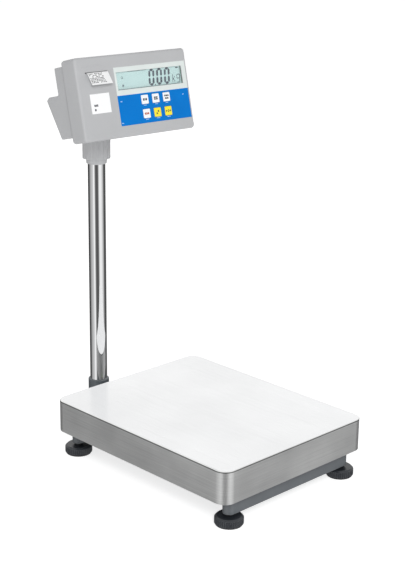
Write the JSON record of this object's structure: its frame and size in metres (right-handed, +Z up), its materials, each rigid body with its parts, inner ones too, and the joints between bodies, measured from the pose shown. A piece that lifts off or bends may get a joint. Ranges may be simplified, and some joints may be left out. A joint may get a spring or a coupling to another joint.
{
  "type": "bench scale",
  "caption": "Bench scale with a stainless weighing pan on levelling feet, a chromed pole and a tilting indicator head with a display, keys and a label printer.",
  "frame": {"origin": "on the floor, under the middle of the bounding box", "axes": "+Z up, +X to the operator's right, the operator stands at -Y"},
  "size_m": [0.4, 0.6293, 0.8254],
  "materials": {
    "frame_paint": "dark blue-grey paint",
    "rubber_black": "black rubber",
    "cell_aluminium": "machined aluminium",
    "spacer_steel": "zinc-plated steel",
    "fastener_steel": "zinc-plated fasteners",
    "level_body": "black plastic",
    "level_fluid": "green fluid under clear plastic",
    "pole_chrome": "polished chrome tube",
    "socket_paint": "dark grey paint",
    "fastener_dark": "blackened steel",
    "pan_steel": "brushed stainless sheet",
    "collar_plastic": "light grey moulded plastic",
    "knob_plastic": "black plastic",
    "housing_plastic": "light grey textured ABS",
    "bracket_steel": "grey powder-coated steel",
    "overlay_film": "printed polyester film",
    "window_clear": "clear acrylic",
    "lcd_glass": "reflective LCD",
    "board_green": "circuit board",
    "battery_case": "sealed lead-acid battery case",
    "connector_black": "black connector body",
    "connector_steel": "plated shell",
    "print_ceramic": "thermal print head",
    "label_paper": "label paper",
    "key_white": "white key cap",
    "key_yellow": "yellow key cap",
    "foot_plastic": "black moulded plastic"
  },
  "bodies": {
    "root": {"support_plate": "frame_paint", "pan_buffers": "rubber_black", "load_cell": "cell_aluminium", "cell_spacer_lower": "spacer_steel", "cell_spacer_upper": "spacer_steel", "cell_bolts_lower": "fastener_steel", "cell_bolts_upper": "fastener_steel", "front_beam": "frame_paint", "rear_beam": "frame_paint", "base_spine": "frame_paint", "pole_bracket": "frame_paint", "overload_stops": "fastener_steel", "level_housing": "level_body", "level_vial": "level_fluid", "pole": "pole_chrome", "pole_socket": "socket_paint", "socket_screws": "fastener_dark", "foot_locknuts": "fastener_dark"},
    "pan": {"weighing_pan": "pan_steel"},
    "collar": {"clamp_collar": "collar_plastic", "collar_screws": "fastener_dark"},
    "tilt_knob": {"tilt_knob": "knob_plastic"},
    "head": {"front_housing": "housing_plastic", "rear_housing": "housing_plastic", "tilt_bracket": "bracket_steel", "bracket_screws": "fastener_steel", "housing_screws": "fastener_steel", "cover_pin": "fastener_steel", "keypad_overlay": "overlay_film", "display_window": "window_clear", "lcd_module": "lcd_glass", "keypad_board": "board_green", "main_board": "board_green", "board_screws": "fastener_steel", "battery": "battery_case", "power_inlet": "connector_black", "serial_connector": "connector_steel", "printer_frame": "bracket_steel", "print_head": "print_ceramic", "roll_cradle": "connector_black", "label_strip": "label_paper", "data_label": "label_paper"},
    "roll_cover": {"roll_cover": "housing_plastic"},
    "platen": {"platen_roller": "rubber_black"},
    "paper_roll": {"paper_roll": "label_paper", "roll_spindle": "connector_black"},
    "key_upper_1": {"key_upper_1": "key_white"},
    "key_upper_2": {"key_upper_2": "key_white"},
    "key_upper_3": {"key_upper_3": "key_white"},
    "key_lower_1": {"key_lower_1": "key_white"},
    "key_lower_2": {"key_lower_2": "key_yellow"},
    "key_lower_3": {"key_lower_3": "key_yellow"},
    "foot_pad_front_left": {"foot_pad_front_left": "rubber_black"},
    "foot_knob_front_left": {"foot_knob_front_left": "foot_plastic"},
    "foot_pad_front_right": {"foot_pad_front_right": "rubber_black"},
    "foot_knob_front_right": {"foot_knob_front_right": "foot_plastic"},
    "foot_pad_rear_left": {"foot_pad_rear_left": "rubber_black"},
    "foot_knob_rear_left": {"foot_knob_rear_left": "foot_plastic"},
    "foot_pad_rear_right": {"foot_pad_rear_right": "rubber_black"},
    "foot_knob_rear_right": {"foot_knob_rear_right": "foot_plastic"}
  },
  "joints": [
    {"name": "pan_lift", "type": "slide", "parent": "root", "child": "pan", "axis": [0, 0, 1], "range_m": [0, 0.1]},
    {"name": "head_swivel", "type": "hinge", "parent": "root", "child": "collar", "pos_m": [0, 0.28492, 0.6], "axis": [0, 0, 1], "range_deg": [-90, 90]},
    {"name": "head_tilt", "type": "hinge", "parent": "collar", "child": "head", "pos_m": [-0.00089, 0.27296, 0.668], "axis": [-0.9973, 0.0741, 0], "range_deg": [-13, 28]},
    {"name": "tilt_knob_turn", "type": "hinge", "parent": "collar", "child": "tilt_knob", "pos_m": [-0.00089, 0.27296, 0.668], "axis": [0.9973, -0.0741, 0], "range_deg": [0, 360]},
    {"name": "roll_cover_hinge", "type": "hinge", "parent": "head", "child": "roll_cover", "pos_m": [-0.09332, 0.23005, 0.67115], "axis": [-0.9973, 0.0741, 0], "range_deg": [0, 88]},
    {"name": "roll_spin", "type": "hinge", "parent": "head", "child": "paper_roll", "pos_m": [-0.09504, 0.20693, 0.70429], "axis": [0.9973, -0.0741, 0], "continuous": true},
    {"name": "platen_spin", "type": "hinge", "parent": "head", "child": "platen", "pos_m": [-0.09725, 0.17724, 0.78377], "axis": [0.9973, -0.0741, 0], "continuous": true},
    {"name": "key_upper_1_press", "type": "slide", "parent": "head", "child": "key_upper_1", "axis": [0.0719, 0.968, -0.2402], "range_m": [0, 0.0004], "stiffness_N_per_m": 1500, "springref_m": -0.0006},
    {"name": "key_upper_2_press", "type": "slide", "parent": "head", "child": "key_upper_2", "axis": [0.0719, 0.968, -0.2402], "range_m": [0, 0.0004], "stiffness_N_per_m": 1500, "springref_m": -0.0006},
    {"name": "key_upper_3_press", "type": "slide", "parent": "head", "child": "key_upper_3", "axis": [0.0719, 0.968, -0.2402], "range_m": [0, 0.0004], "stiffness_N_per_m": 1500, "springref_m": -0.0006},
    {"name": "key_lower_1_press", "type": "slide", "parent": "head", "child": "key_lower_1", "axis": [0.0719, 0.968, -0.2402], "range_m": [0, 0.0004], "stiffness_N_per_m": 1500, "springref_m": -0.0006},
    {"name": "key_lower_2_press", "type": "slide", "parent": "head", "child": "key_lower_2", "axis": [0.0719, 0.968, -0.2402], "range_m": [0, 0.0004], "stiffness_N_per_m": 1500, "springref_m": -0.0006},
    {"name": "key_lower_3_press", "type": "slide", "parent": "head", "child": "key_lower_3", "axis": [0.0719, 0.968, -0.2402], "range_m": [0, 0.0004], "stiffness_N_per_m": 1500, "springref_m": -0.0006},
    {"name": "foot_travel_front_left", "type": "slide", "parent": "root", "child": "foot_pad_front_left", "axis": [0, 0, -1], "range_m": [0, 0.004]},
    {"name": "foot_turn_front_left", "type": "hinge", "parent": "foot_pad_front_left", "child": "foot_knob_front_left", "pos_m": [-0.1605, -0.28618, 0.01], "axis": [0, 0, 1], "range_deg": [0, 961]},
    {"name": "foot_travel_front_right", "type": "slide", "parent": "root", "child": "foot_pad_front_right", "axis": [0, 0, -1], "range_m": [0, 0.004]},
    {"name": "foot_turn_front_right", "type": "hinge", "parent": "foot_pad_front_right", "child": "foot_knob_front_right", "pos_m": [0.1605, -0.28618, 0.01], "axis": [0, 0, 1], "range_deg": [0, 961]},
    {"name": "foot_travel_rear_left", "type": "slide", "parent": "root", "child": "foot_pad_rear_left", "axis": [0, 0, -1], "range_m": [0, 0.004]},
    {"name": "foot_turn_rear_left", "type": "hinge", "parent": "foot_pad_rear_left", "child": "foot_knob_rear_left", "pos_m": [-0.1605, 0.16082, 0.01], "axis": [0, 0, 1], "range_deg": [0, 961]},
    {"name": "foot_travel_rear_right", "type": "slide", "parent": "root", "child": "foot_pad_rear_right", "axis": [0, 0, -1], "range_m": [0, 0.004]},
    {"name": "foot_turn_rear_right", "type": "hinge", "parent": "foot_pad_rear_right", "child": "foot_knob_rear_right", "pos_m": [0.1605, 0.16082, 0.01], "axis": [0, 0, 1], "range_deg": [0, 961]}
  ],
  "couplings": [
    {"joint": "platen_spin", "follows": "roll_spin", "ratio": 4.3333},
    {"joint": "foot_turn_front_left", "follows": "foot_travel_front_left", "rad_per_m": 4188.8},
    {"joint": "foot_turn_front_right", "follows": "foot_travel_front_right", "rad_per_m": 4188.8},
    {"joint": "foot_turn_rear_left", "follows": "foot_travel_rear_left", "rad_per_m": 4188.8},
    {"joint": "foot_turn_rear_right", "follows": "foot_travel_rear_right", "rad_per_m": 4188.8}
  ]
}
